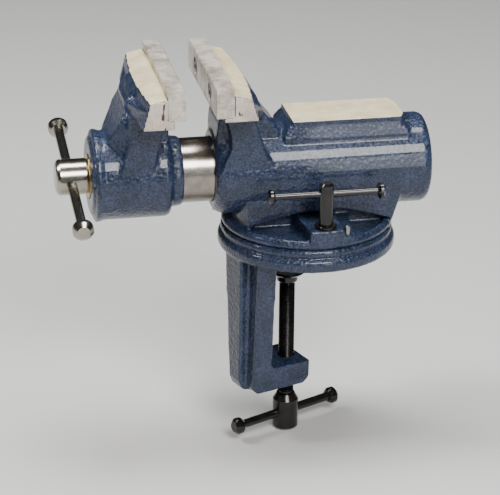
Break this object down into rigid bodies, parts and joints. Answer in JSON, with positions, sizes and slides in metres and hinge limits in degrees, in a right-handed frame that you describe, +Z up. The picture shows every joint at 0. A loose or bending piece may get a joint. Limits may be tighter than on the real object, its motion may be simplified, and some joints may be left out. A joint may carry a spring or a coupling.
{
  "type": "bench vise",
  "caption": "Small table-clamp bench vise with a swivel base, a round slide tube, serviceable flat jaw plates and a flat anvil behind the fixed jaw.",
  "frame": {"origin": "on the swivel axis, in the plane where the base rests on the bench", "axes": "+X along the slide from the spindle towards the anvil, +Y across the jaws, away from the swivel lock, +Z up along the swivel axis"},
  "size_m": [0.1802, 0.105, 0.193],
  "materials": {
    "paint": "glossy hammered slate-blue enamel over rough cast iron, bare machined faces on the jaws and the anvil",
    "jaw_steel": "ground steel",
    "bright_steel": "turned and polished steel",
    "dark_steel": "dark polished steel",
    "screw_steel": "plain hardened screws and pins",
    "black_oxide": "glossy black oxide",
    "brass": "turned bronze, lightly oiled"
  },
  "bodies": {
    "clamp_base": {"base_casting": "paint"},
    "swivel_body": {"vise_body": "paint", "pivot_bolt": "screw_steel", "pivot_washer": "bright_steel", "fixed_jaw_plate": "jaw_steel", "fixed_plate_screws": "screw_steel", "spindle_nut": "brass", "nut_screws": "screw_steel", "guide_screw": "screw_steel", "stop_pin": "screw_steel", "lock_tnut": "screw_steel"},
    "moving_jaw_body": {"moving_jaw": "paint", "slide_tube": "bright_steel", "moving_jaw_plate": "jaw_steel", "moving_plate_screws": "screw_steel", "tube_pin": "screw_steel", "thrust_washer": "brass"},
    "main_spindle": {"spindle": "dark_steel", "spindle_collar": "bright_steel", "collar_pin": "screw_steel"},
    "spindle_handle": {"spindle_bar": "dark_steel", "spindle_bar_cap": "dark_steel"},
    "swivel_lock": {"lock_screw": "black_oxide", "lock_washer": "black_oxide"},
    "lock_handle": {"lock_bar": "black_oxide", "lock_bar_cap": "black_oxide"},
    "pad": {"clamp_pad": "black_oxide"},
    "clamp_spindle": {"clamp_screw": "black_oxide"},
    "clamp_handle": {"clamp_bar": "black_oxide", "clamp_bar_cap": "black_oxide"}
  },
  "joints": [
    {"name": "swivel", "type": "hinge", "parent": "clamp_base", "child": "swivel_body", "pos_m": [0, 0, 0.0125], "axis": [0, 0, 1], "continuous": true},
    {"name": "jaw_slide", "type": "slide", "parent": "swivel_body", "child": "moving_jaw_body", "axis": [1, 0, 0], "range_m": [-0.0456, 0.0143]},
    {"name": "spindle_turn", "type": "hinge", "parent": "moving_jaw_body", "child": "main_spindle", "pos_m": [-0.1, 0, 0.0405], "axis": [1, 0, 0], "range_deg": [-5477, 1721]},
    {"name": "handle_slide", "type": "slide", "parent": "main_spindle", "child": "spindle_handle", "axis": [0, 0.9877, 0.1564], "range_m": [-0.0365, 0.0365]},
    {"name": "lock_turn", "type": "hinge", "parent": "swivel_body", "child": "swivel_lock", "pos_m": [0.002, -0.03449, 0.028], "axis": [0, 0, 1], "range_deg": [-12, 12]},
    {"name": "lock_bar_slide", "type": "slide", "parent": "swivel_lock", "child": "lock_handle", "axis": [1, 0, 0], "range_m": [-0.008, 0.008]},
    {"name": "pad_lift", "type": "slide", "parent": "clamp_base", "child": "pad", "axis": [0, 0, 1], "range_m": [-0.039, 0.008]},
    {"name": "clamp_turn", "type": "hinge", "parent": "pad", "child": "clamp_spindle", "pos_m": [-0.00968, -0.00352, -0.02], "axis": [0, 0, 1], "range_deg": [-11237, 2309]},
    {"name": "clamp_bar_slide", "type": "slide", "parent": "clamp_spindle", "child": "clamp_handle", "axis": [0.8988, 0.4384, 0], "range_m": [-0.0195, 0.0195]}
  ],
  "couplings": [
    {"joint": "spindle_turn", "follows": "jaw_slide", "rad_per_m": 2094.4},
    {"joint": "clamp_turn", "follows": "pad_lift", "rad_per_m": 5026.5}
  ]
}
